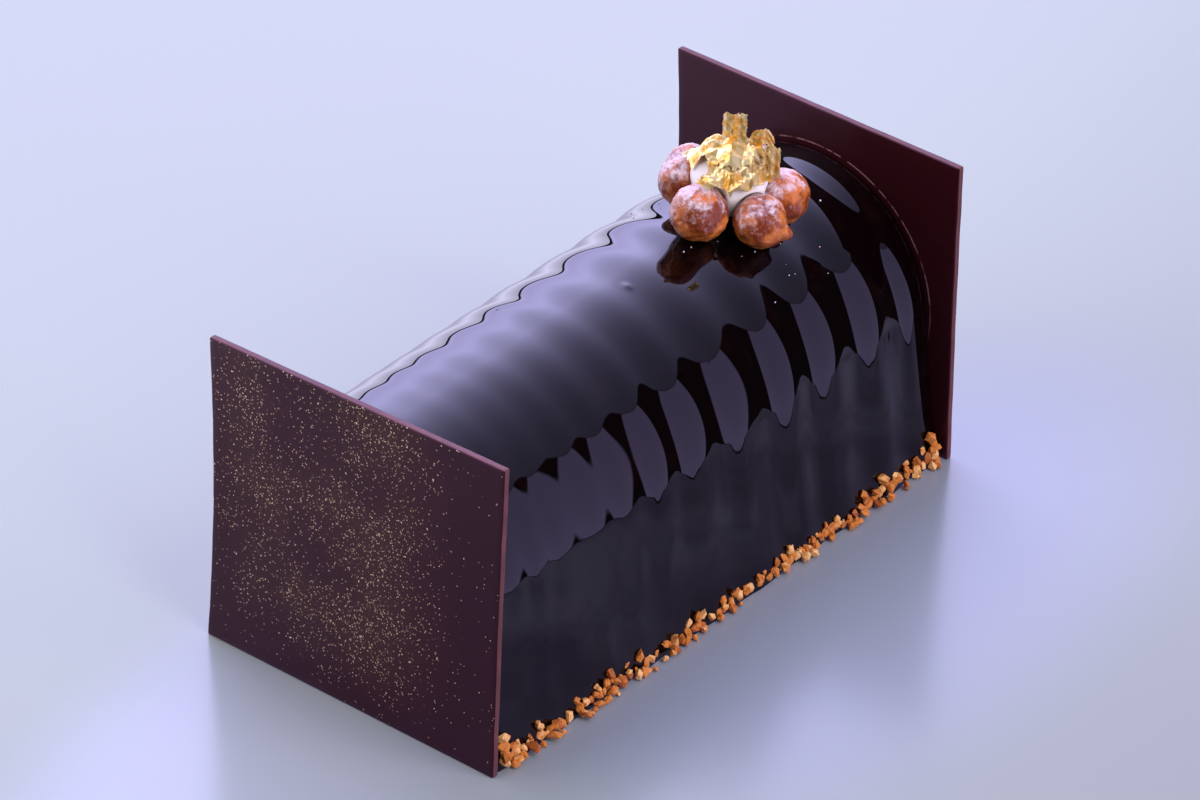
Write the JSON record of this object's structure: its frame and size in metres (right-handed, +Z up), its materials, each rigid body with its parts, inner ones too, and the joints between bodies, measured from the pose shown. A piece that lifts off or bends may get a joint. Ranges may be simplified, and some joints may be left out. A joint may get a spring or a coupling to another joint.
{
  "type": "yule log cake",
  "caption": "Long arched log cake with a ribbed mirror glaze, held between upright chocolate plates, with chopped nuts along its foot and a topping of candied nuts, cream and gold leaf.",
  "frame": {"origin": "middle of the whole cake's box in plan, on the surface that it stands on", "axes": "+Y along the log from the plain front end plate with gold specks to the rear end plate, +X to the right seen from the front plate, +Z up"},
  "size_m": [0.1004, 0.1914, 0.1096],
  "materials": {
    "glaze": "mirror glaze of dark chocolate, very glossy, over sponge and cream that don't show",
    "chocolate": "tempered dark chocolate, satin",
    "candied_nut": "caramel coat with white sugar bloom",
    "cream": "smooth whipped cream",
    "gold_leaf": "crumpled edible gold leaf, mirror bright"
  },
  "bodies": {
    "root": {"cake_log": "glaze", "front_plate": "chocolate", "rear_plate": "chocolate", "nut_1": "candied_nut", "nut_2": "candied_nut", "nut_3": "candied_nut", "nut_4": "candied_nut", "nut_5": "candied_nut", "nut_6": "candied_nut", "cream": "cream", "gold_leaf": "gold_leaf", "gold_leaf_tab": "gold_leaf", "gold_leaf_crest": "gold_leaf", "gold_leaf_flap": "gold_leaf"}
  },
  "joints": []
}
